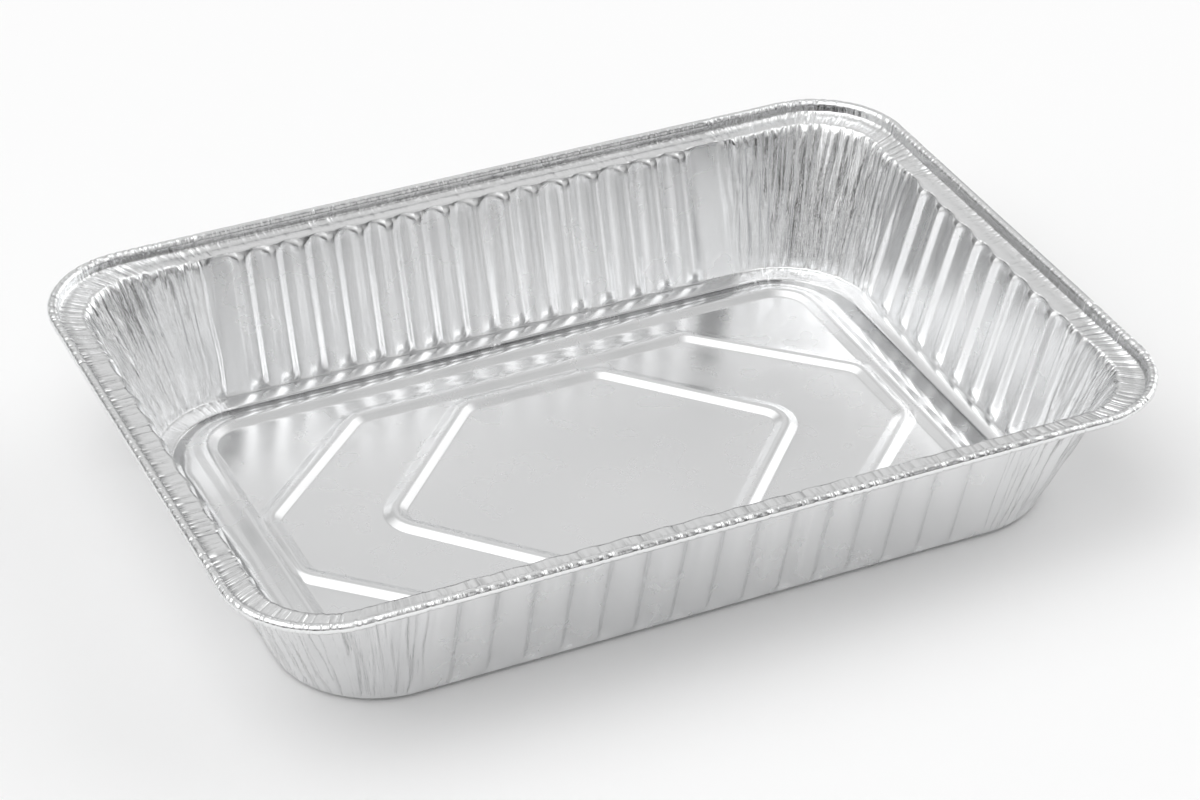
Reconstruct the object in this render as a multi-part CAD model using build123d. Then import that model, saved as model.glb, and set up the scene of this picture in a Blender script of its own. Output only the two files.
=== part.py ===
from build123d import *
import math
import os

os.makedirs("parts", exist_ok=True)

# ---------------------------------------------------------------------------
# Pressed aluminium foil tray, one sheet of foil, one solid.
# Millimetres.  X = length, Y = width, Z = up, underside of the floor at z = 0.
# ---------------------------------------------------------------------------
FOIL = 0.12                  # sheet thickness

# overall, measured over the rolled rim
LENGTH = 330.0
WIDTH = 236.5
HEIGHT = 55.8
RIM_CORNER_R = 34.9          # outside of the roll

# rolled rim: hollow curl turned outward and tucked under
CURL_R = 1.75                # outside radius of the roll
CURL_WRAP = 325.0            # degrees of roll from the upstand
UPSTAND_LEAN = 0.35          # how far the upstand leans outward
LEDGE_Z = 51.4               # underside of the flat ledge

# floor and its margin
FLOOR_X, FLOOR_Y, FLOOR_R = 132.4, 85.4, 29.0     # half sizes where the margin starts to rise
FOOT_X, FOOT_Y, FOOT_R = 139.3, 92.5, 35.0        # half sizes at the foot of the wall
FOOT_Z = 1.2
DRAFT = 15.8                 # wall lean from upright, degrees
CREASE_R = 26.0              # corner radius where wall meets ledge

# wall ribs: narrow trapezoid ribs that stand inward, flat panels between
RIB_DEPTH = 1.7
RIB_CREST = 2.3
RIB_BASE = 7.6
RIB_RUN_IN = 2.8             # height of the sloped ends of a rib
RIB_TOP_LEFT = 0.35          # rib depth still there at the ledge crease
BACK_RIBS = [-89.0, -77.6, -66.4, -55.2, -43.9, -32.8, -21.8, -10.4,
             1.0, 12.9, 24.8, 36.8, 48.7, 60.6, 72.4, 84.2]
FRONT_RIBS = [-91.0 + 13.0 * k for k in range(15)]
END_RIBS = [-45.7 + 13.06 * k for k in range(8)]

# corner pleats: zig-zag gathers
PLEATS = 13                  # per corner
PLEAT_FOOT = 0.55
PLEAT_TOP = 1.0

# floor beads: raised, rounded, one height
BEAD_H = 1.7
BEAD_BASE = 8.5
BEAD_CREST = 1.5             # half width of the rounded crest
BEAD_SHOULDER = 1.38
FRAME_X, FRAME_Y, FRAME_R = 119.9, 78.1, 16.0     # centreline of the frame bead
OUTER_HEX = [(114.6, 17.0), (65.0, 63.3), (-65.0, 63.3), (-114.6, 17.0),
             (-114.6, -17.0), (-65.0, -63.3), (65.0, -63.3), (114.6, -17.0)]
OUTER_HEX_R = 10.0
INNER_HEX = [(77.5, 0.0), (26.5, 54.2), (-26.5, 54.2),
             (-77.5, 0.0), (-26.5, -54.2), (26.5, -54.2)]
INNER_HEX_R = 10.0

TAN = math.tan(math.radians(DRAFT))
T_H = FOIL / math.cos(math.radians(DRAFT))


# ---------------------------------------------------------------------------
# Rings: closed outlines with the same number of points at every height
# ---------------------------------------------------------------------------
def side(ribs, depth, flip):
    """Points along one side as (position, inward depth), ascending."""
    c, b = RIB_CREST / 2, RIB_BASE / 2
    out = []
    for x in sorted(ribs):
        out += [(x - b, 0.0), (x - c, depth), (x + c, depth), (x + b, 0.0)]
    if flip:
        out = [(-x, d) for x, d in reversed(out)]
    return out


def ring(a, b, r, depth, pleat):
    """Counter-clockwise outline starting on the +X side."""
    pts = []
    # +X side, walked towards +Y
    pts += [(a - d, y) for y, d in side(END_RIBS, depth, False)]
    pts += corner(a - r, b - r, r, 0, pleat)
    # +Y side, walked towards -X
    pts += [(-x, b - d) for x, d in side([-x for x in BACK_RIBS], depth, False)]
    pts += corner(-(a - r), b - r, r, 90, pleat)
    # -X side, walked towards -Y
    pts += [(-(a - d), -y) for y, d in side(END_RIBS, depth, False)]
    pts += corner(-(a - r), -(b - r), r, 180, pleat)
    # -Y side, walked towards +X
    pts += [(x, -(b - d)) for x, d in side(FRONT_RIBS, depth, False)]
    pts += corner(a - r, -(b - r), r, 270, pleat)
    return pts


def corner(cx, cy, r, start, pleat):
    n = 2 * PLEATS
    out = []
    for i in range(n + 1):
        ang = math.radians(start + 90.0 * i / n)
        rr = r - (pleat if i % 2 else 0.0)
        out.append((cx + rr * math.cos(ang), cy + rr * math.sin(ang)))
    return out


def inset(pts, d):
    """Mitred inset of a counter-clockwise outline by d."""
    n = len(pts)
    out = []
    for i in range(n):
        x0, y0 = pts[i - 1]
        x1, y1 = pts[i]
        x2, y2 = pts[(i + 1) % n]
        ux, uy = x1 - x0, y1 - y0
        vx, vy = x2 - x1, y2 - y1
        lu, lv = math.hypot(ux, uy), math.hypot(vx, vy)
        n1 = (-uy / lu, ux / lu)
        n2 = (-vy / lv, vx / lv)
        k = 1.0 + n1[0] * n2[0] + n1[1] * n2[1]
        out.append((x1 + d * (n1[0] + n2[0]) / k, y1 + d * (n1[1] + n2[1]) / k))
    return out


def wall_at(z):
    w = (z - FOOT_Z) / (LEDGE_Z - FOOT_Z)
    return (FOOT_X + (z - FOOT_Z) * TAN, FOOT_Y + (z - FOOT_Z) * TAN,
            FOOT_R + (CREASE_R - FOOT_R) * w)


UP_X = LENGTH / 2 - 2 * CURL_R - UPSTAND_LEAN      # inner face of the upstand at the ledge
UP_Y = WIDTH / 2 - 2 * CURL_R - UPSTAND_LEAN
UP_R = RIM_CORNER_R - 2 * CURL_R - UPSTAND_LEAN

levels = []   # (outline, z of underside, inset of the upper face, rise of the upper face)
levels.append((ring(FLOOR_X, FLOOR_Y, FLOOR_R, 0, 0), 0.0, 0.0, FOIL))
levels.append((ring(FOOT_X, FOOT_Y, FOOT_R, 0, 0), FOOT_Z, T_H - FOIL * TAN, FOIL))
z1 = FOOT_Z + RIB_RUN_IN
levels.append((ring(*wall_at(z1), RIB_DEPTH, PLEAT_FOOT), z1, T_H, 0.0))
z2 = LEDGE_Z - RIB_RUN_IN
levels.append((ring(*wall_at(z2), RIB_DEPTH, PLEAT_TOP), z2, T_H, 0.0))
levels.append((ring(*wall_at(LEDGE_Z), RIB_TOP_LEFT, 0.3), LEDGE_Z, T_H - FOIL * TAN, FOIL))
levels.append((ring(UP_X + FOIL * 0.55, UP_Y + FOIL * 0.55, UP_R + FOIL * 0.55, 0, 0), LEDGE_Z, 0.0, FOIL))

under = [[(x, y, z) for x, y in pts] for pts, z, _, _ in levels]
upper = [[(x, y, z + rise) for x, y in (inset(pts, d) if d else pts)]
         for pts, z, d, rise in levels]


def poly(pts):
    return Face(Wire.make_polygon([Vector(*p) for p in pts], close=True))


def flat(p, q, r, s):
    u = [q[i] - p[i] for i in range(3)]
    v = [r[i] - p[i] for i in range(3)]
    w = [s[i] - p[i] for i in range(3)]
    n = (u[1] * v[2] - u[2] * v[1], u[2] * v[0] - u[0] * v[2], u[0] * v[1] - u[1] * v[0])
    ln = math.sqrt(sum(c * c for c in n))
    return ln > 1e-9 and abs(sum(n[i] * w[i] for i in range(3))) / ln < 1e-7


def band(lo, hi):
    n = len(lo)
    out = []
    for i in range(n):
        j = (i + 1) % n
        a, b, c, d = lo[i], lo[j], hi[j], hi[i]
        if flat(a, b, c, d):
            out.append(poly([a, b, c, d]))
        else:
            out.append(poly([a, b, c]))
            out.append(poly([a, c, d]))
    return out


faces = [poly(under[0]), poly(upper[0])]
for k in range(len(levels) - 1):
    faces += band(under[k], under[k + 1])
    faces += band(upper[k], upper[k + 1])
faces += band(under[-1], upper[-1])
pan = Solid(Shell(faces))


# ---------------------------------------------------------------------------
# Rolled rim: one section, straight on the sides and turned round the corners
# ---------------------------------------------------------------------------
def rim_section(x0, sign=1):
    """Section in the XZ plane with the upstand's inner foot at x0."""
    zc = HEIGHT - CURL_R
    cx = x0 + UPSTAND_LEAN + CURL_R
    ri = CURL_R - FOIL
    end = math.radians(180.0 - CURL_WRAP)
    mid = math.radians(180.0 - CURL_WRAP / 2)

    def on(r, ang):
        return (cx + r * math.cos(ang), zc + r * math.sin(ang))

    with BuildSketch(Plane.XZ) as sk:
        with BuildLine():
            Line((x0, LEDGE_Z), (cx - CURL_R, zc))
            ThreePointArc((cx - CURL_R, zc), on(CURL_R, mid), on(CURL_R, end))
            Line(on(CURL_R, end), on(ri, end))
            ThreePointArc(on(ri, end), on(ri, mid), (cx - ri, zc))
            Line((cx - ri, zc), (x0 + FOIL, LEDGE_Z))
            Line((x0 + FOIL, LEDGE_Z), (x0, LEDGE_Z))
        make_face()
    return sk.sketch


ccx, ccy = UP_X - UP_R, UP_Y - UP_R           # corner centres of the rim
sec = rim_section(UP_R)                       # section measured from a corner axis
turned = revolve(sec, axis=Axis.Z, revolution_arc=90)
long_bar = extrude(sec, amount=-2 * ccy)      # runs along +Y, for the short sides
wide_bar = extrude(sec, amount=-2 * ccx)      # same, for the long sides


def place(shape, ang, x, y):
    return Pos(x, y, 0) * Rot(0, 0, ang) * shape


bb = long_bar.bounding_box()
if bb.min.Y < -1e-3:
    long_bar = Pos(0, 2 * ccy, 0) * long_bar
    wide_bar = Pos(0, 2 * ccx, 0) * wide_bar
tb = turned.bounding_box()
turned = Rot(0, 0, 90) * turned if tb.min.Y < -1e-3 else turned

rim_bits = [
    place(turned, 0, ccx, ccy), place(turned, 90, -ccx, ccy),
    place(turned, 180, -ccx, -ccy), place(turned, 270, ccx, -ccy),
    place(long_bar, 0, ccx, -ccy), place(long_bar, 180, -ccx, ccy),
    place(wide_bar, 90, ccx, ccy), place(wide_bar, 270, -ccx, -ccy),
]
rim = rim_bits[0].fuse(*rim_bits[1:])


# ---------------------------------------------------------------------------
# Floor beads: a rounded ridge run round three closed paths
# ---------------------------------------------------------------------------
def rounded_path(pts, r):
    """Closed wire through pts with every corner rounded, from the middle of the last side."""
    n = len(pts)
    start = ((pts[-1][0] + pts[0][0]) / 2, (pts[-1][1] + pts[0][1]) / 2)
    cur = start
    edges = []
    for i in range(n):
        p = pts[i]
        q = pts[(i + 1) % n]
        o = pts[i - 1]
        u = Vector(o[0] - p[0], o[1] - p[1]).normalized()
        v = Vector(q[0] - p[0], q[1] - p[1]).normalized()
        half = math.acos(max(-1, min(1, u.dot(v)))) / 2
        cut = r / math.tan(half)
        a = (p[0] + u.X * cut, p[1] + u.Y * cut)
        b = (p[0] + v.X * cut, p[1] + v.Y * cut)
        m = (u + v).normalized()
        dist = r / math.sin(half) - r
        mid = (p[0] + m.X * dist, p[1] + m.Y * dist)
        edges.append(Edge.make_line((*cur, 0), (*a, 0)))
        edges.append(Edge.make_three_point_arc((*a, 0), (*mid, 0), (*b, 0)))
        cur = b
    edges.append(Edge.make_line((*cur, 0), (*start, 0)))
    return Wire(edges)


def ridge(pts, r, low, lift):
    path = rounded_path(pts, r)
    e = path.edges()[0]
    start = ((pts[-1][0] + pts[0][0]) / 2, (pts[-1][1] + pts[0][1]) / 2)
    d = Vector(pts[0][0] - pts[-1][0], pts[0][1] - pts[-1][1], 0).normalized()
    pl = Plane(origin=(start[0], start[1], 0), x_dir=d.cross(Vector(0, 0, 1)), z_dir=d)
    up = 1 if pl.y_dir.Z > 0 else -1
    hb, cr = BEAD_BASE / 2, BEAD_CREST
    with BuildSketch(pl) as sk:
        with BuildLine():
            Polyline((-cr, up * (BEAD_SHOULDER + lift)), (-hb, up * lift), (-hb, up * low),
                     (hb, up * low), (hb, up * lift), (cr, up * (BEAD_SHOULDER + lift)))
            ThreePointArc((cr, up * (BEAD_SHOULDER + lift)), (0, up * (BEAD_H + lift)),
                          (-cr, up * (BEAD_SHOULDER + lift)))
        make_face()
    return sweep(sk.sketch, path=path, transition=Transition.RIGHT)


FRAME = [(FRAME_X, FRAME_Y), (-FRAME_X, FRAME_Y), (-FRAME_X, -FRAME_Y), (FRAME_X, -FRAME_Y)]
beads = [(FRAME, FRAME_R), (OUTER_HEX, OUTER_HEX_R), (INNER_HEX, INNER_HEX_R)]
crests = [ridge(p, r, FOIL * 0.5, FOIL) for p, r in beads]
hollows = [ridge(p, r, -0.5, 0.0) for p, r in beads]

tray = pan.fuse(*crests)
tray = tray.cut(*hollows)
tray = tray.fuse(rim)
if isinstance(tray, ShapeList):
    tray = max(tray, key=lambda s: s.volume)
solids = tray.solids()
print("solids", len(solids), [round(s.volume, 1) for s in solids], "valid", tray.is_valid)
foil_tray = max(solids, key=lambda s: s.volume)

export_step(foil_tray, "parts/foil_tray.step")
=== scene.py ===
import math

import bpy
import numpy as np
from mathutils import Matrix, Vector
from mathutils.geometry import delaunay_2d_cdt


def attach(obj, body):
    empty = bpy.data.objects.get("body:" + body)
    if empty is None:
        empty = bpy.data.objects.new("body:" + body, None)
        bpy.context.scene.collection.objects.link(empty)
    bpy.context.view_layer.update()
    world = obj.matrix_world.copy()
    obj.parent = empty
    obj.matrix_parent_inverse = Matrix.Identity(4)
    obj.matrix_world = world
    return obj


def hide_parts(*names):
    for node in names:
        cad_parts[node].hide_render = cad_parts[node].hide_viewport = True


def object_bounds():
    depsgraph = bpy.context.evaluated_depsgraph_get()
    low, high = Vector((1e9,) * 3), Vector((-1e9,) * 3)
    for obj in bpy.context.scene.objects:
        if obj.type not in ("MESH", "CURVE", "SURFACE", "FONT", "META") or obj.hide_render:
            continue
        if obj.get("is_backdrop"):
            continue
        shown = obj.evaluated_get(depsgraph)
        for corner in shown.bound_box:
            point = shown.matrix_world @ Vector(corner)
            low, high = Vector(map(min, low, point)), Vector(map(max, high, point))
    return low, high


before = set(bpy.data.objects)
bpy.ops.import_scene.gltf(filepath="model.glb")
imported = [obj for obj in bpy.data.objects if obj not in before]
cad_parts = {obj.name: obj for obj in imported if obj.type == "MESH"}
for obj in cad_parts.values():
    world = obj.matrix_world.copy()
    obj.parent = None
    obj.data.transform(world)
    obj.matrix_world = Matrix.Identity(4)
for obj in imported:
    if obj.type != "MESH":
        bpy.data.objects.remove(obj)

CAD_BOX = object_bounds()
rng = np.random.default_rng(41)

# ---------------------------------------------------------------------------
# Tray dimensions, millimetres, the same as the solid's
# ---------------------------------------------------------------------------
FOIL = 0.12
LENGTH, WIDTH, HEIGHT = 330.0, 236.5, 55.8
RIM_CORNER_R = 34.9
CURL_R = 1.75
UPSTAND_LEAN = 0.35
LEDGE_Z = 51.4
FLOOR = (132.4, 85.4, 29.0)
FOOT = (139.3, 92.5, 35.0)
FOOT_Z = 1.2
TAN = math.tan(math.radians(15.8))
CREASE_R = 26.0
RIB_DEPTH, RIB_CREST, RIB_BASE = 1.7, 2.3, 7.6
BACK_RIBS = [-89.0, -77.6, -66.4, -55.2, -43.9, -32.8, -21.8, -10.4,
             1.0, 12.9, 24.8, 36.8, 48.7, 60.6, 72.4, 84.2]
FRONT_RIBS = [-91.0 + 13.0 * k for k in range(15)]
END_RIBS = [-45.7 + 13.06 * k for k in range(8)]
UP = (LENGTH / 2 - 2 * CURL_R - UPSTAND_LEAN, WIDTH / 2 - 2 * CURL_R - UPSTAND_LEAN,
      RIM_CORNER_R - 2 * CURL_R - UPSTAND_LEAN)
X0, Y0 = 98.0, 52.0          # where the ribbed sides end and the gathered corners start


def smooth(e0, e1, x):
    t = np.clip((x - e0) / (e1 - e0), 0.0, 1.0)
    return t * t * (3 - 2 * t)


def noise1(x, seed):
    """Smooth value noise along x, about -1 to 1."""
    r = np.random.default_rng(seed).uniform(-1, 1, 4096)
    i = np.floor(x).astype(int)
    f = x - i
    f = f * f * (3 - 2 * f)
    return r[i % 4096] * (1 - f) + r[(i + 1) % 4096] * f


def noise2(x, y, seed):
    r = np.random.default_rng(seed).uniform(-1, 1, (256, 256))
    i = np.floor(x).astype(int)
    j = np.floor(y).astype(int)
    f = x - i
    g = y - j
    f = f * f * (3 - 2 * f)
    g = g * g * (3 - 2 * g)
    a = r[i % 256, j % 256] * (1 - f) + r[(i + 1) % 256, j % 256] * f
    b = r[i % 256, (j + 1) % 256] * (1 - f) + r[(i + 1) % 256, (j + 1) % 256] * f
    return a * (1 - g) + b * g


# ---------------------------------------------------------------------------
# Walk round the tray.  g runs 0..8: whole numbers start the sectors
# 0 right side, 1 corner, 2 back side, 3 corner, 4 left side, 5 corner, 6 front side, 7 corner
# ---------------------------------------------------------------------------
def around(g, a, b, r):
    """Point and outward normal on a rounded rectangle of half sizes a, b, corner radius r."""
    g = np.asarray(g, float)
    a, b, r = (np.broadcast_to(np.asarray(q, float), g.shape) for q in (a, b, r))
    sec = np.clip(np.floor(g).astype(int), 0, 7)
    t = g - sec
    x = np.zeros_like(g); y = np.zeros_like(g); nx = np.zeros_like(g); ny = np.zeros_like(g)
    # sides
    m = sec == 0
    x[m], y[m], nx[m] = a[m], -Y0 + 2 * Y0 * t[m], 1
    m = sec == 2
    x[m], y[m], ny[m] = X0 - 2 * X0 * t[m], b[m], 1
    m = sec == 4
    x[m], y[m], nx[m] = -a[m], Y0 - 2 * Y0 * t[m], -1
    m = sec == 6
    x[m], y[m], ny[m] = -X0 + 2 * X0 * t[m], -b[m], -1
    # corners, each walked from its first side to its second
    for s, sx, sy, first_x in ((1, 1, 1, False), (3, -1, 1, True), (5, -1, -1, False), (7, 1, -1, True)):
        m = sec == s
        if not m.any():
            continue
        aa, bb, rr, tt = a[m], b[m], r[m], t[m]
        ly = bb - rr - Y0
        lx = aa - rr - X0
        arc = rr * math.pi / 2
        l1, l2 = (lx, ly) if first_x else (ly, lx)
        d = tt * (l1 + arc + l2)
        u = np.clip(d, 0, l1)
        w = np.clip(d - l1, 0, arc) / rr
        v = np.clip(d - l1 - arc, 0, None)
        if first_x:      # from the Y side round to the X side
            px = X0 + u + rr * np.sin(w)
            py = bb - rr + rr * np.cos(w) - v
            qx, qy = np.sin(w), np.cos(w)
        else:            # from the X side round to the Y side
            px = aa - rr + rr * np.cos(w) - v
            py = Y0 + u + rr * np.sin(w)
            qx, qy = np.cos(w), np.sin(w)
        x[m], y[m], nx[m], ny[m] = sx * px, sy * py, sx * qx, sy * qy
    return x, y, nx, ny


def wall_dims(z):
    w = (z - FOOT_Z) / (LEDGE_Z - FOOT_Z)
    return (FOOT[0] + (z - FOOT_Z) * TAN, FOOT[1] + (z - FOOT_Z) * TAN, FOOT[2] + (CREASE_R - FOOT[2]) * w)


# ---------------------------------------------------------------------------
# Ribs on the sides
# ---------------------------------------------------------------------------
class Ribs:
    """Flat-sided ribs pressed inward along one side, each a little different."""

    def __init__(self, centres, seed):
        gen = np.random.default_rng(seed)
        n = len(centres)
        self.c = np.array(centres) + gen.uniform(-0.22, 0.22, n)
        self.k = RIB_DEPTH * gen.uniform(0.86, 1.12, n)
        self.cw = RIB_CREST / 2 * gen.uniform(0.85, 1.15, n)
        self.bw = RIB_BASE / 2 * gen.uniform(0.95, 1.03, n)

    def depth(self, pos, z):
        """Inward depth at pos along the side and height z."""
        d = np.zeros_like(pos)
        # the flat panels between ribs close in an arch at the top and a bowl at the foot
        flare = 1.5 * smooth(LEDGE_Z - 3.4, LEDGE_Z - 0.2, z) ** 1.3 + 1.2 * smooth(FOOT_Z + 3.4, FOOT_Z, z) ** 1.2
        top = 1.0 - 0.62 * smooth(LEDGE_Z - 1.9, LEDGE_Z + 0.1, z)
        bot = smooth(FOOT_Z, FOOT_Z + 2.8, z)
        for c, k, cw, bw in zip(self.c, self.k, self.cw, self.bw):
            f = 1.0 - np.clip((np.abs(pos - c) - cw) / (bw + flare - cw), 0, 1)
            d = np.maximum(d, k * f * top * bot)
        return d

    def stations(self):
        out = []
        for c, cw, bw in zip(self.c, self.cw, self.bw):
            for e in (cw - 0.12, cw + 0.22, (cw + bw) / 2, bw - 0.2, bw + 0.25):
                out += [c - e, c + e]
        return np.array(out)


RIBS = {0: Ribs(END_RIBS, 11), 2: Ribs(BACK_RIBS, 12), 4: Ribs(END_RIBS, 13), 6: Ribs(FRONT_RIBS, 14)}


# ---------------------------------------------------------------------------
# Gathered corners
# ---------------------------------------------------------------------------
class Pleats:
    """Irregular gathers across a corner: boundaries that wander with height."""

    def __init__(self, seed, count, depth, lo, hi, sharp, spread=0.45):
        gen = np.random.default_rng(seed)
        w = gen.uniform(1 - spread, 1 + spread, count)
        self.edge = np.r_[0, np.cumsum(w) / w.sum()] * (hi - lo) + lo
        self.lo, self.hi = lo, hi
        self.n = count
        self.amp = depth * gen.uniform(0.45, 1.25, count)
        self.peak = gen.uniform(0.3, 0.7, count)
        self.seed = seed
        self.sharp = sharp
        self.cut = gen.uniform(0.0, 1.0, count)

    def __call__(self, t, w):
        """t across the corner 0..1, w up the wall 0..1."""
        wander = 0.35 / self.n * (noise2(t * self.n * 0.7 + 3.3, w * 3.1, self.seed + 1)
                                  + 0.5 * noise2(t * self.n * 1.3, w * 7.0, self.seed + 2))
        u = np.clip(t + wander, self.lo + 1e-6, self.hi - 1e-6)
        k = np.clip(np.searchsorted(self.edge, u, side="right") - 1, 0, self.n - 1)
        x = (u - self.edge[k]) / (self.edge[k + 1] - self.edge[k])
        p = self.peak[k]
        q = np.where(x < p, x / p, (1 - x) / (1 - p))
        prof = 1 - (1 - q) ** self.sharp
        a = self.amp[k] * (0.75 + 0.45 * noise2(k * 1.7 + 0.5, w * 2.6 + self.cut[k] * 9, self.seed + 3))
        edge_fade = smooth(self.lo, self.lo + 0.05, t) * smooth(self.hi, self.hi - 0.05, t)
        return a * prof * edge_fade


corner_sets = []
for c in range(4):
    corner_sets.append((
        Pleats(100 + 10 * c, 15, 1.55, 0.03, 0.97, 1.9),
        Pleats(500 + 10 * c, 27, 1.0, 0.01, 0.99, 1.5),
        Pleats(900 + 10 * c, 43, 0.42, 0.0, 1.0, 1.3),
    ))


def corner_depth(sec, t, z):
    big, mid, fine = corner_sets[(sec - 1) // 2]
    w = (z - FOOT_Z) / (LEDGE_Z - FOOT_Z)
    foot = smooth(0.0, 0.055, w)
    d1 = big(t, w) * foot * (1.0 - 0.55 * smooth(0.45, 0.95, w))
    d2 = mid(t, w) * smooth(0.12, 0.55, w) * (1.0 + 0.35 * smooth(0.5, 0.9, w))
    d3 = fine(t, w) * smooth(0.3, 0.8, w)
    top = 1.0 - 0.55 * smooth(0.965, 1.0, w)
    # slack folds run out onto the plain wall near the top
    return (d1 + d2 + d3) * top


# ---------------------------------------------------------------------------
# Rim creases: short cross creases pressed into the ledge and the roll
# ---------------------------------------------------------------------------
SECTOR_LEN = [2 * Y0, 112.0, 2 * X0, 112.0, 2 * Y0, 112.0, 2 * X0, 112.0]
crease_at, crease_deep, crease_skew, crease_curl, crease_len = [], [], [], [], []
spec = {0: (3.4, 0.55, 0.1), 2: (4.6, 0.30, 0.1), 4: (3.0, 0.95, 0.45), 6: (3.1, 0.95, 0.7),
        1: (2.8, 1.0, 1.0), 3: (2.8, 1.0, 1.0), 5: (2.8, 1.05, 1.0), 7: (2.8, 1.05, 1.0)}
for s in range(8):
    gap, deep, on_curl = spec[s]
    pos = rng.uniform(0.3, 0.6) * gap
    while pos < SECTOR_LEN[s] - 0.4:
        crease_at.append(s + pos / SECTOR_LEN[s])
        crease_deep.append(deep * rng.choice([0.35, 0.7, 1.0, 1.35], p=[0.3, 0.3, 0.25, 0.15]))
        crease_skew.append(rng.normal(0, 0.5) + (1.6 if s == 0 else 0.25))
        crease_curl.append(on_curl * rng.choice([0.15, 0.6, 1.0], p=[0.35, 0.35, 0.3]))
        crease_len.append((rng.uniform(-0.15, 0.25), rng.uniform(0.75, 1.15)))
        pos += gap * rng.uniform(0.45, 1.55)
crease_at = np.array(crease_at)
crease_deep = np.array(crease_deep)
crease_skew = np.array(crease_skew)
crease_curl = np.array(crease_curl)
crease_len = np.array(crease_len)

# ---------------------------------------------------------------------------
# Columns
# ---------------------------------------------------------------------------
def sector_cols(s, n):
    return s + (np.arange(n) / n)


def side_cols(sec):
    """Positions 0..1 along a ribbed side, on the facet edges and across the plain ends."""
    half = X0 if sec in (2, 6) else Y0
    st = RIBS[sec].stations()
    st = st[(st > -half + 0.4) & (st < half - 0.4)]
    st = np.sort(np.r_[-half, st])
    gaps = [np.linspace(a, b, int((b - a) // 2.4) + 2)[:-1] for a, b in zip(st, np.r_[st[1:], half])]
    pos = np.concatenate(gaps)
    t = (pos + half) / (2 * half)
    if sec in (2, 4):
        t = np.sort(1 - t)
        t = np.r_[0.0, t[t < 1 - 1e-9]]
    t = t[np.r_[True, np.diff(t) > 1e-5]]
    return sec + t


wall_cols = np.concatenate([side_cols(s) if s % 2 == 0 else sector_cols(s, 196) for s in range(8)])
cols = []
nxt = np.r_[crease_at[1:], crease_at[0] + 8]
for k, c in enumerate(crease_at):
    s = int(c)
    h = 0.28 / SECTOR_LEN[s]
    cols += [c - h, c, c + h]
    mid = (c + nxt[k]) / 2
    if mid < 8:
        cols.append(mid)
cols = np.array(sorted(set([0.0] + [round(float(c), 7) for c in cols if 0 <= c < 8] + [float(i) for i in range(8)])))
keep = np.r_[True, np.diff(cols) > 0.0008]
rim_cols = cols[keep]

# ---------------------------------------------------------------------------
# Rows
# ---------------------------------------------------------------------------
wall_z = [1.2, 1.8, 2.7, 4.0, 7.5, 12.0, 16.5, 21.0, 25.5, 30.0, 34.5, 39.0, 43.5, 47.0, 49.0, 50.1, 50.9]


def row_ramp(g, q):
    a, b, r = (FLOOR[i] + (FOOT[i] - FLOOR[i]) * q for i in range(3))
    x, y, nx, ny = around(g, a, b, r)
    z = FOOT_Z * (q + 0.12 * np.sin(q * math.pi)) * np.ones_like(x)
    return x, y, z


def row_wall(g, z0):
    sec = np.floor(g).astype(int)
    t = g - sec
    z = np.full_like(g, z0)
    a, b, r = wall_dims(z0)
    # concave fillet at the foot
    fil = 1.1 * (1 - smooth(FOOT_Z, FOOT_Z + 1.9, z0)) * 0.35
    x, y, nx, ny = around(g, a, b, r)
    d = np.zeros_like(g)
    for s, ribs in RIBS.items():
        m = sec == s
        d[m] = ribs.depth(x[m] if s in (2, 6) else y[m], z[m])
    for s in (1, 3, 5, 7):
        m = sec == s
        d[m] = corner_depth(s, t[m], z0)
    # slow unevenness of a thin wall
    w = (z0 - FOOT_Z) / (LEDGE_Z - FOOT_Z)
    arc = g * 100.0
    d = d + 0.16 * noise2(arc / 19.0, np.full_like(g, z0 / 26.0), 71) * smooth(0, 0.2, w) * smooth(1.02, 0.85, w)
    d = d + 0.05 * noise2(arc / 6.0, np.full_like(g, z0 / 12.0), 72) * smooth(0, 0.2, w) * smooth(1.02, 0.9, w)
    d = d + fil
    return x - nx * d, y - ny * d, z


def crease_field(g, along):
    """Sum of cross creases at g; along is 0 at the inner edge of the ledge, 1 at its outer edge."""
    L = np.array(SECTOR_LEN)[np.clip(np.floor(g).astype(int), 0, 7)]
    out = np.zeros_like(g)
    curl = np.zeros_like(g)
    order = np.searchsorted(crease_at, g)
    for off in (-2, -1, 0, 1):
        k = (order + off) % len(crease_at)
        dist = g - crease_at[k]
        dist = (dist + 4) % 8 - 4
        mm = dist * L - crease_skew[k] * (along - 0.5) * 0.9
        span = smooth(crease_len[k, 0] - 0.12, crease_len[k, 0] + 0.12, np.full_like(g, along)) \
            * smooth(crease_len[k, 1] + 0.12, crease_len[k, 1] - 0.12, np.full_like(g, along))
        v = np.exp(-(mm / 0.34) ** 2)
        out = np.maximum(out, v * crease_deep[k] * span)
        curl = np.maximum(curl, np.exp(-((dist * L) / 0.30) ** 2) * crease_curl[k])
    return out, curl


def is_corner(g):
    s = np.floor(g).astype(int)
    t = g - s
    c = np.where(s % 2 == 1, smooth(0.0, 0.18, t) * smooth(1.0, 0.82, t), 0.0)
    return c


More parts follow.
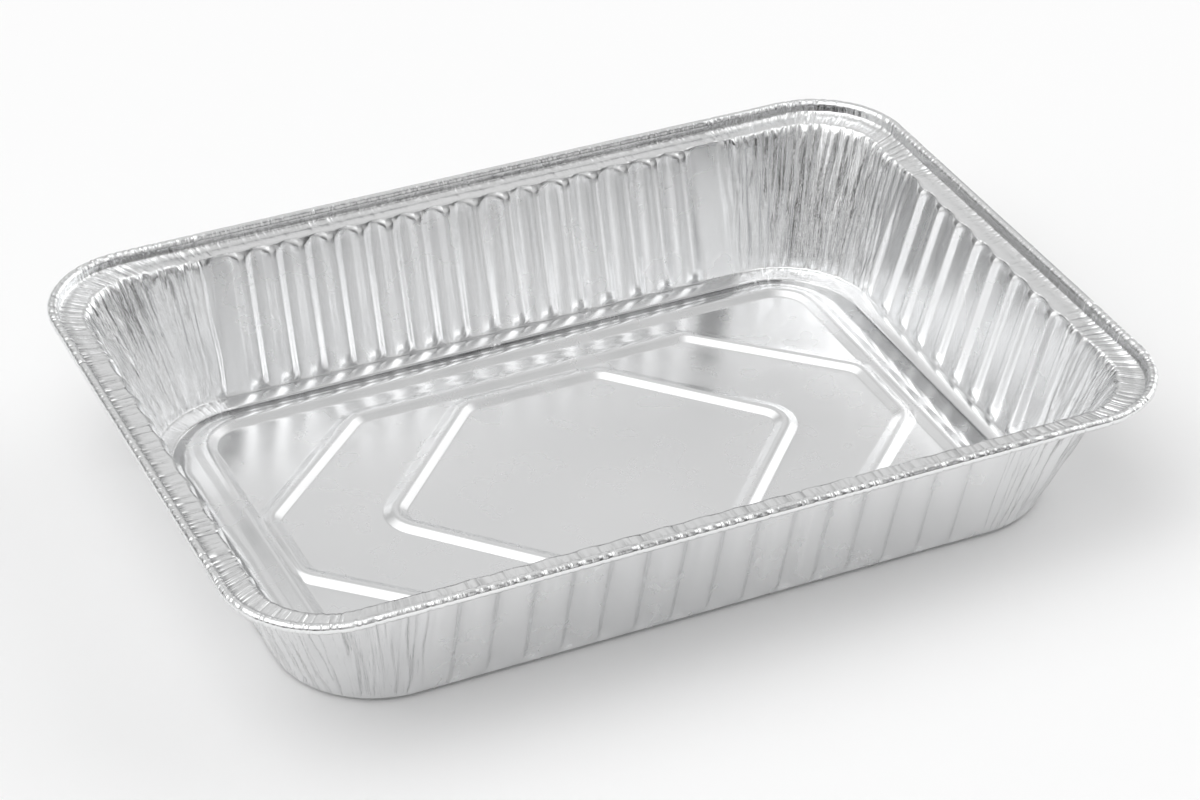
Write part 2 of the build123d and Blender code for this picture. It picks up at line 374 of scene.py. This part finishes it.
def row_ledge(g, q):
    """q 0 at the wall crease, 1 at the upstand."""
    a0, b0, r0 = wall_dims(LEDGE_Z)
    a, b, r = a0 + (UP[0] - a0) * q, b0 + (UP[1] - b0) * q, r0 + (UP[2] - r0) * q
    x, y, nx, ny = around(g, a, b, r)
    cor = is_corner(g)
    cr, _ = crease_field(g, q)
    arc = g * 100.0
    z = LEDGE_Z + FOIL - 0.42 * cr * smooth(-0.05, 0.1, q) * smooth(1.05, 0.92, q)
    z = z + 0.16 * noise2(arc / 2.6, np.full_like(g, q * 1.5 + 3), 81) * smooth(0, 0.2, q) * smooth(1.0, 0.8, q)
    z = z + cor * 0.22 * noise2(arc / 1.7, np.full_like(g, q * 1.3), 82) * smooth(0, 0.2, q) * smooth(1.05, 0.8, q)
    if q < 0.3:
        # the ribs and gathers run out over the crease, which is softly rounded
        zz = np.full_like(g, LEDGE_Z - 0.02)
        sec = np.floor(g).astype(int)
        d = np.zeros_like(g)
        for s, ribs in RIBS.items():
            m = sec == s
            d[m] = ribs.depth(x[m] if s in (2, 6) else y[m], zz[m])
        for s in (1, 3, 5, 7):
            m = sec == s
            d[m] = corner_depth(s, g[m] - s, LEDGE_Z)
        f = (1 - q / 0.3)
        x = x - nx * d * f
        y = y - ny * d * f
        z = z - 0.10 * (1 - smooth(0.0, 0.16, q)) - 0.25 * d * f * (1 - smooth(0.0, 0.2, q))
    return x, y, z


def row_rim(g, ang=None, q=None):
    cor = is_corner(g)
    _, cu = crease_field(g, 1.0)
    arc = g * 100.0
    if ang is None:
        x, y, nx, ny = around(g, UP[0] + UPSTAND_LEAN * q, UP[1] + UPSTAND_LEAN * q, UP[2] + UPSTAND_LEAN * q)
        z = LEDGE_Z + FOIL + (HEIGHT - CURL_R - LEDGE_Z - FOIL) * q * np.ones_like(g)
        wob = 0.12 * cor * noise2(arc / 1.4, np.full_like(g, q * 2.0), 91)
        return x + nx * wob, y + ny * wob, z
    r = CURL_R - 0.02 - 0.34 * cu * smooth(178, 120, ang) \
        - 0.10 * (0.25 + 0.75 * cor) * (0.5 + 0.5 * noise2(arc / 1.9, np.full_like(g, ang / 60.0), 92))
    th = math.radians(ang)
    off = UPSTAND_LEAN + CURL_R + r * math.cos(th)
    x, y, nx, ny = around(g, UP[0] + off, UP[1] + off, UP[2] + off)
    z = HEIGHT - CURL_R + r * math.sin(th)
    return x, y, z


# ---------------------------------------------------------------------------
# Floor with its raised beads
# ---------------------------------------------------------------------------
BEAD_H, BEAD_HALF, BEAD_CREST, BEAD_SHOULDER = 1.7, 4.25, 1.5, 1.38
FRAME_PTS = [(119.9, 78.1), (-119.9, 78.1), (-119.9, -78.1), (119.9, -78.1)]
OUTER_PTS = [(114.6, 17.0), (65.0, 63.3), (-65.0, 63.3), (-114.6, 17.0),
             (-114.6, -17.0), (-65.0, -63.3), (65.0, -63.3), (114.6, -17.0)]
INNER_PTS = [(77.5, 0.0), (26.5, 54.2), (-26.5, 54.2), (-77.5, 0.0), (-26.5, -54.2), (26.5, -54.2)]
PATHS = [(FRAME_PTS, 16.0), (OUTER_PTS, 10.0), (INNER_PTS, 10.0)]


def rounded(pts, r, off=0.0, n=9):
    """Counter-clockwise closed path with rounded corners, offset outward by off."""
    out = []
    m = len(pts)
    for i in range(m):
        p = np.array(pts[i]); o = np.array(pts[i - 1]); q = np.array(pts[(i + 1) % m])
        u = (o - p) / np.linalg.norm(o - p); v = (q - p) / np.linalg.norm(q - p)
        half = math.acos(max(-1, min(1, float(u @ v)))) / 2
        mdir = (u + v) / np.linalg.norm(u + v)
        c = p + mdir * (r / math.sin(half))
        a0 = math.atan2(*(p + u * r / math.tan(half) - c)[::-1])
        a1 = math.atan2(*(p + v * r / math.tan(half) - c)[::-1])
        while a1 < a0 - 1e-9:
            a1 += 2 * math.pi
        if a1 - a0 > math.pi:
            a1 -= 2 * math.pi
        for k in range(n + 1):
            a = a0 + (a1 - a0) * k / n
            out.append((c[0] + (r + off) * math.cos(a), c[1] + (r + off) * math.sin(a)))
    return np.array(out)


def path_distance(P, poly):
    A = poly; B = np.roll(poly, -1, axis=0)
    D = B - A
    L2 = (D ** 2).sum(1)
    best = np.full(len(P), 1e9)
    for i in range(len(A)):
        if L2[i] < 1e-12:
            continue
        t = np.clip(((P - A[i]) @ D[i]) / L2[i], 0, 1)
        q = A[i] + t[:, None] * D[i]
        best = np.minimum(best, np.hypot(*(P - q).T))
    return best


centre_lines = [rounded(p, r, 0.0, 20) for p, r in PATHS]


def bead_height(P):
    h = np.zeros(len(P))
    for cl in centre_lines:
        d = path_distance(P, cl)
        slope = BEAD_SHOULDER * (BEAD_HALF - d) / (BEAD_HALF - BEAD_CREST)
        toe = BEAD_SHOULDER * 0.012
        slope = np.where(d > BEAD_HALF - 0.45, np.maximum(0, (BEAD_HALF + 0.45 - d)) ** 2 / (4 * 0.45)
                         * BEAD_SHOULDER / (BEAD_HALF - BEAD_CREST), slope)
        crown = BEAD_H - (BEAD_H - BEAD_SHOULDER) * (d / BEAD_CREST) ** 2
        h = np.maximum(h, np.where(d < BEAD_CREST, crown, np.where(d < BEAD_HALF + 0.45, slope, 0)))
    return h


def build_floor():
    bx, by, _, _ = around(wall_cols, *FLOOR)
    nb = len(bx)
    pts = [(x, y) for x, y in zip(bx, by)]
    edges = [(i, (i + 1) % nb) for i in range(nb)]
    for p, r in PATHS:
        for off in (-4.7, -4.25, -3.8, -1.7, -1.2, 0.0, 1.2, 1.7, 3.8, 4.25, 4.7):
            loop = rounded(p, r, off, 7)
            k0 = len(pts)
            pts += [tuple(q) for q in loop]
            edges += [(k0 + i, k0 + (i + 1) % len(loop)) for i in range(len(loop))]
    # a loose grid so that the panels can be a little uneven
    gx = np.arange(-126, 127, 8.0); gy = np.arange(-79, 80, 7.9)
    G = np.array([(x, y) for x in gx for y in gy])
    G = G + np.random.default_rng(5).uniform(-1.5, 1.5, G.shape)
    near = np.minimum.reduce([path_distance(G, cl) for cl in centre_lines])
    inside = (np.abs(G[:, 0]) < FLOOR[0] - 3) & (np.abs(G[:, 1]) < FLOOR[1] - 3)
    cc = np.hypot(np.maximum(np.abs(G[:, 0]) - (FLOOR[0] - FLOOR[2]), 0), np.maximum(np.abs(G[:, 1]) - (FLOOR[1] - FLOOR[2]), 0))
    inside &= cc < FLOOR[2] - 3
    pts += [tuple(q) for q in G[(near > 5.6) & inside]]
    v, e, f, ov, oe, of_ = delaunay_2d_cdt([Vector(q) for q in pts], edges, [], 0, 1e-4, True)
    V = np.array([(q.x, q.y) for q in v])
    owner = np.full(len(V), -1)
    for i, o in enumerate(ov):
        for q in o:
            if q < nb:
                owner[i] = q
    ax, ay, ar = FLOOR
    tris = []
    for t in f:
        c = V[list(t)].mean(0)
        dx, dy = max(abs(c[0]) - (ax - ar), 0), max(abs(c[1]) - (ay - ar), 0)
        if abs(c[0]) <= ax and abs(c[1]) <= ay and math.hypot(dx, dy) <= ar - 0.0:
            tris.append(tuple(t))
    # chords at the rounded corners lie just inside the arc
    h = bead_height(V)
    z = FOIL + h
    edge = np.minimum(ax - np.abs(V[:, 0]), ay - np.abs(V[:, 1]))
    flatness = smooth(0, 6, np.maximum(edge, 0))
    z = z + 0.10 * noise2(V[:, 0] / 27.0 + 40, V[:, 1] / 23.0 + 40, 61) * flatness
    z = z + 0.035 * noise2(V[:, 0] / 9.0 + 40, V[:, 1] / 9.0 + 40, 62) * flatness
    z = np.maximum(z, FOIL)
    return V, z, tris, owner, nb


# ---------------------------------------------------------------------------
# Assemble the upper face of the foil
# ---------------------------------------------------------------------------
verts, faces, tag, uvs = [], [], [], []


def add_rows(g, rows):
    """rows: list of (x, y, z) arrays.  Returns index grid [row][col]."""
    grid = []
    for x, y, z in rows:
        k = len(verts)
        verts.extend(zip(x.tolist(), y.tolist(), z.tolist()))
        grid.append(np.arange(k, k + len(x)))
    return grid


FV, FZ, FT, owner, nb = build_floor()
base = len(verts)
verts.extend((float(p[0]), float(p[1]), float(z)) for p, z in zip(FV, FZ))
first = np.full(nb, -1)
for i, o in enumerate(owner):
    if o >= 0:
        first[o] = base + i
assert (first >= 0).all(), "floor edge lost vertices"
tri = np.array(FT)
P = FV[tri]
area = (P[:, 1, 0] - P[:, 0, 0]) * (P[:, 2, 1] - P[:, 0, 1]) - (P[:, 2, 0] - P[:, 0, 0]) * (P[:, 1, 1] - P[:, 0, 1])
for t, ar in zip(FT, area):
    t = tuple(base + q for q in t)
    faces.append(t if ar > 0 else t[::-1])

rows = [row_ramp(wall_cols, q) for q in (0.2, 0.6, 0.9)]
rows = [(x, y, z + FOIL) for x, y, z in rows]
rows += [row_wall(wall_cols, z) for z in wall_z]
wall_grid = [first] + add_rows(wall_cols, rows)
n = len(wall_cols)
for r in range(len(wall_grid) - 1):
    A, B = wall_grid[r], wall_grid[r + 1]
    for i in range(n):
        j = (i + 1) % n
        faces.append((A[i], A[j], B[j], B[i]))

rows = [row_ledge(rim_cols, q) for q in (0.0, 0.12, 0.5, 0.95)]
rows += [row_rim(rim_cols, q=q) for q in (0.3,)]
rows += [row_rim(rim_cols, ang=a) for a in (180, 140, 100, 60, 20, -20, -60, -100, -140)]
rim_grid = add_rows(rim_cols, rows)
m = len(rim_cols)
for r in range(len(rim_grid) - 1):
    A, B = rim_grid[r], rim_grid[r + 1]
    for i in range(m):
        j = (i + 1) % m
        faces.append((A[i], A[j], B[j], B[i]))

# zip the wall's last row to the rim's first
A, B = wall_grid[-1], rim_grid[0]
ga, gb = np.r_[wall_cols, 8.0], np.r_[rim_cols, 8.0]
i = j = 0
while i < n or j < m:
    if j >= m or (i < n and ga[i + 1] <= gb[j + 1]):
        faces.append((A[i % n], A[(i + 1) % n], B[j % m]))
        i += 1
    else:
        faces.append((A[i % n], B[(j + 1) % m], B[j % m]))
        j += 1

V = np.array(verts)
# corner regions are crumpled and bright, the floor is satin
NV = len(V)


def vertex_normals(V, faces):
    N = np.zeros_like(V)
    tri = np.array([f for f in faces if len(f) == 3])
    quad = np.array([f for f in faces if len(f) == 4])
    if len(tri):
        c = np.cross(V[tri[:, 1]] - V[tri[:, 0]], V[tri[:, 2]] - V[tri[:, 0]])
        for k in range(3):
            np.add.at(N, tri[:, k], c)
    if len(quad):
        c = np.cross(V[quad[:, 2]] - V[quad[:, 0]], V[quad[:, 3]] - V[quad[:, 1]])
        for k in range(4):
            np.add.at(N, quad[:, k], c)
    L = np.linalg.norm(N, axis=1)
    L[L < 1e-12] = 1
    return N / L[:, None]


N = vertex_normals(V, faces)
U = V - FOIL * N
U[:, 2] = np.maximum(U[:, 2], 0.0)
allv = np.vstack([V, U]) / 1000.0
back_faces = [tuple(NV + q for q in f[::-1]) for f in faces]
last = rim_grid[-1]
seal = []
for i in range(m):
    j = (i + 1) % m
    seal.append((last[i], last[j], NV + last[j], NV + last[i]))
allf = faces + back_faces + seal

mesh = bpy.data.meshes.new("pressed_foil")
mesh.from_pydata(allv.tolist(), [], [tuple(int(q) for q in f) for f in allf])
mesh.validate()
mesh.update()
for p in mesh.polygons:
    p.use_smooth = True

# crumple mask, one value per vertex: 0 on floor and ribbed sides, 1 in the corners, 0.6 on the rim
mask = np.zeros(NV)
for grid in wall_grid[1:]:
    mask[grid] = is_corner(wall_cols)
for r, grid in enumerate(rim_grid):
    mask[grid] = np.maximum(0.55 if r > 1 else 0.3, is_corner(rim_cols))
att = mesh.attributes.new("crumple", "FLOAT", "POINT")
att.data.foreach_set("value", np.r_[mask, mask].astype(np.float32))

# surface coordinates in metres: along the rim and up the wall; plan position on the floor
uv_pt = np.zeros((NV, 2))
uv_pt[:] = V[:, :2] / 100.0
for r, grid in enumerate(wall_grid[1:]):
    uv_pt[grid, 0] = wall_cols * 1.1
    uv_pt[grid, 1] = 3.0 + V[grid, 2] / 100.0
for r, grid in enumerate(rim_grid):
    uv_pt[grid, 0] = rim_cols * 1.1
    uv_pt[grid, 1] = 3.0 + V[rim_grid[0], 2].mean() / 100.0 + r * 0.012
coord = mesh.attributes.new("lay", "FLOAT_VECTOR", "POINT")
lay = np.zeros((NV, 3))
lay[:, :2] = uv_pt
coord.data.foreach_set("vector", np.vstack([lay, lay]).astype(np.float32).ravel())

tray = bpy.data.objects.new("pressed_foil", mesh)
bpy.context.scene.collection.objects.link(tray)
tri_count = sum(len(p.vertices) - 2 for p in mesh.polygons)
print("triangles", tri_count, "verts", len(mesh.vertices))
assert tri_count < 199000, tri_count

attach(tray, "root")
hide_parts("foil_tray")

# ---------------------------------------------------------------------------
# Foil material
# ---------------------------------------------------------------------------
mat = bpy.data.materials.new("rolled_foil")
mat.use_nodes = True
nt = mat.node_tree
for nd in list(nt.nodes):
    nt.nodes.remove(nd)


def node(kind, **kw):
    nd = nt.nodes.new(kind)
    for k, v in kw.items():
        setattr(nd, k, v)
    return nd


out = node("ShaderNodeOutputMaterial")
bsdf = node("ShaderNodeBsdfPrincipled")
nt.links.new(bsdf.outputs["BSDF"], out.inputs["Surface"])
bsdf.inputs["Metallic"].default_value = 1.0
bsdf.inputs["IOR"].default_value = 1.45

tex = node("ShaderNodeTexCoord")
crump = node("ShaderNodeAttribute", attribute_name="crumple")
layn = node("ShaderNodeAttribute", attribute_name="lay")

# colour: near white metal with faint cloudy oxide tone
n_col = node("ShaderNodeTexNoise")
n_col.inputs["Scale"].default_value = 14.0
n_col.inputs["Detail"].default_value = 4.0
nt.links.new(tex.outputs["Object"], n_col.inputs["Vector"])
ramp = node("ShaderNodeValToRGB")
ramp.color_ramp.elements[0].position = 0.3
ramp.color_ramp.elements[0].color = (0.86, 0.865, 0.87, 1)
ramp.color_ramp.elements[1].position = 0.75
ramp.color_ramp.elements[1].color = (0.93, 0.932, 0.935, 1)
nt.links.new(n_col.outputs["Fac"], ramp.inputs["Fac"])
nt.links.new(ramp.outputs["Color"], bsdf.inputs["Base Color"])

# roughness: satin on the flats, brighter where the foil is drawn over folds
n_r = node("ShaderNodeTexNoise")
n_r.inputs["Scale"].default_value = 55.0
n_r.inputs["Detail"].default_value = 5.0
nt.links.new(tex.outputs["Object"], n_r.inputs["Vector"])
mr = node("ShaderNodeMapRange")
mr.inputs["From Min"].default_value = 0.3
mr.inputs["From Max"].default_value = 0.7
mr.inputs["To Min"].default_value = 0.22
mr.inputs["To Max"].default_value = 0.30
nt.links.new(n_r.outputs["Fac"], mr.inputs["Value"])
sub = node("ShaderNodeMath", operation="MULTIPLY")
sub.inputs[1].default_value = 0.11
nt.links.new(crump.outputs["Fac"], sub.inputs[0])
rr = node("ShaderNodeMath", operation="SUBTRACT")
nt.links.new(mr.outputs["Result"], rr.inputs[0])
nt.links.new(sub.outputs[0], rr.inputs[1])
nt.links.new(rr.outputs[0], bsdf.inputs["Roughness"])

# rolling grain: long fine lines along the tray
mp = node("ShaderNodeMapping")
mp.inputs["Scale"].default_value = (12.0, 900.0, 900.0)
nt.links.new(tex.outputs["Object"], mp.inputs["Vector"])
n_g = node("ShaderNodeTexNoise")
n_g.inputs["Scale"].default_value = 1.0
n_g.inputs["Detail"].default_value = 3.0
nt.links.new(mp.outputs["Vector"], n_g.inputs["Vector"])
b1 = node("ShaderNodeBump")
b1.inputs["Strength"].default_value = 0.10
b1.inputs["Distance"].default_value = 0.00002
nt.links.new(n_g.outputs["Fac"], b1.inputs["Height"])

# crumple lines: fine upright wrinkles in the corners and across the rim
mp2 = node("ShaderNodeMapping")
mp2.inputs["Scale"].default_value = (62.0, 7.0, 1.0)
nt.links.new(layn.outputs["Vector"], mp2.inputs["Vector"])
n_w = node("ShaderNodeTexNoise")
n_w.inputs["Scale"].default_value = 1.0
n_w.inputs["Detail"].default_value = 5.0
n_w.inputs["Roughness"].default_value = 0.6
n_w.inputs["Distortion"].default_value = 0.35
nt.links.new(mp2.outputs["Vector"], n_w.inputs["Vector"])
mw = node("ShaderNodeMath", operation="MULTIPLY")
nt.links.new(n_w.outputs["Fac"], mw.inputs[0])
nt.links.new(crump.outputs["Fac"], mw.inputs[1])
b2 = node("ShaderNodeBump")
b2.inputs["Strength"].default_value = 0.55
b2.inputs["Distance"].default_value = 0.0011
nt.links.new(mw.outputs[0], b2.inputs["Height"])
nt.links.new(b1.outputs["Normal"], b2.inputs["Normal"])

# slight overall unevenness of thin foil
n_s = node("ShaderNodeTexNoise")
n_s.inputs["Scale"].default_value = 70.0
n_s.inputs["Detail"].default_value = 2.0
nt.links.new(tex.outputs["Object"], n_s.inputs["Vector"])
b3 = node("ShaderNodeBump")
b3.inputs["Strength"].default_value = 0.25
b3.inputs["Distance"].default_value = 0.00016
nt.links.new(n_s.outputs["Fac"], b3.inputs["Height"])
nt.links.new(b2.outputs["Normal"], b3.inputs["Normal"])
nt.links.new(b3.outputs["Normal"], bsdf.inputs["Normal"])
mesh.materials.append(mat)

# ---------------------------------------------------------------------------
# Stage, light and camera
# ---------------------------------------------------------------------------
scene = bpy.context.scene
scene.view_settings.view_transform = "Standard"
scene.view_settings.look = "None"
scene.view_settings.exposure = 0.0
scene.view_settings.gamma = 1.0

fm = bpy.data.meshes.new("table_top")
S = 6.0
fm.from_pydata([(-S, -S, 0), (S, -S, 0), (S, S, 0), (-S, S, 0)], [], [(0, 1, 2, 3)])
floor = bpy.data.objects.new("table_top", fm)
scene.collection.objects.link(floor)
floor.location.z = -0.00005
fmat = bpy.data.materials.new("white_table")
fmat.use_nodes = True
fb = fmat.node_tree.nodes["Principled BSDF"]
fb.inputs["Base Color"].default_value = (0.95, 0.95, 0.95, 1)
fb.inputs["Roughness"].default_value = 0.9
fb.inputs["Specular IOR Level"].default_value = 0.1
fm.materials.append(fmat)
floor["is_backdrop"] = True

world = bpy.data.worlds.new("studio")
scene.world = world
world.use_nodes = True
wn = world.node_tree
for nd in list(wn.nodes):
    wn.nodes.remove(nd)
wo = wn.nodes.new("ShaderNodeOutputWorld")
bg = wn.nodes.new("ShaderNodeBackground")
wt = wn.nodes.new("ShaderNodeTexCoord")
# soft light panels round the tray: azimuth, elevation, brightness
PANELS = [(90, 6, 0.95),
         (135, 6, 0.12),
         (180, 6, 0.44),
         (225, 6, 0.14),
         (0, 32, 0.70),
         (45, 32, 0.05),
         (90, 32, 1.27),
         (135, 32, 0.41),
         (180, 32, 0.27),
         (270, 32, 1.23),
         (92, 60, 0.16),
         (164, 60, 0.25),
         (236, 60, 1.10),
         (308, 60, 1.40),
         (0, 90, 0.29)]
total = None
for p_az, p_el, p_k in PANELS:
    a, e = math.radians(p_az), math.radians(p_el)
    dot = wn.nodes.new("ShaderNodeVectorMath")
    dot.operation = "DOT_PRODUCT"
    dot.inputs[1].default_value = (math.sin(a) * math.cos(e), -math.cos(a) * math.cos(e), math.sin(e))
    wn.links.new(wt.outputs["Generated"], dot.inputs[0])
    lobe = wn.nodes.new("ShaderNodeMapRange")
    lobe.interpolation_type = "SMOOTHSTEP"
    lobe.inputs["From Min"].default_value = math.cos(math.radians(38))
    lobe.inputs["From Max"].default_value = 1.0
    lobe.inputs["To Max"].default_value = p_k
    wn.links.new(dot.outputs["Value"], lobe.inputs["Value"])
    if total is None:
        total = lobe.outputs["Result"]
    else:
        add = wn.nodes.new("ShaderNodeMath")
        wn.links.new(total, add.inputs[0])
        wn.links.new(lobe.outputs["Result"], add.inputs[1])
        total = add.outputs[0]
bg.inputs["Color"].default_value = (1, 1, 1, 1)
wn.links.new(total, bg.inputs["Strength"])
wn.links.new(bg.outputs["Background"], wo.inputs["Surface"])


# camera
az, el, roll = math.radians(-25.081), math.radians(33.652), math.radians(-0.273)
back = Vector((math.sin(az) * math.cos(el), -math.cos(az) * math.cos(el), math.sin(el)))
tgt = Vector((0.00044, -0.003437, 0.030))
loc = tgt + back * 1.1979
zv = -back
xv = zv.cross(Vector((0, 0, 1))).normalized()
yv = zv.cross(xv)
x2 = xv * math.cos(roll) + yv * math.sin(roll)
y2 = -xv * math.sin(roll) + yv * math.cos(roll)
cam_data = bpy.data.cameras.new("camera")
cam_data.sensor_width = 36.0
cam_data.lens = 3502.1 / 1200 * 36.0
cam_data.clip_start = 0.01
cam_data.clip_end = 50
cam = bpy.data.objects.new("camera", cam_data)
scene.collection.objects.link(cam)
cam.matrix_world = Matrix(((x2.x, -y2.x, -zv.x, loc.x), (x2.y, -y2.y, -zv.y, loc.y),
                           (x2.z, -y2.z, -zv.z, loc.z), (0, 0, 0, 1)))
scene.camera = cam


def plain(b):
    return [[float(q) for q in p] for p in b] if hasattr(b[0], "__len__") else [float(q) for q in b]


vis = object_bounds()
{"cad": plain(CAD_BOX), "visual": plain(vis)}
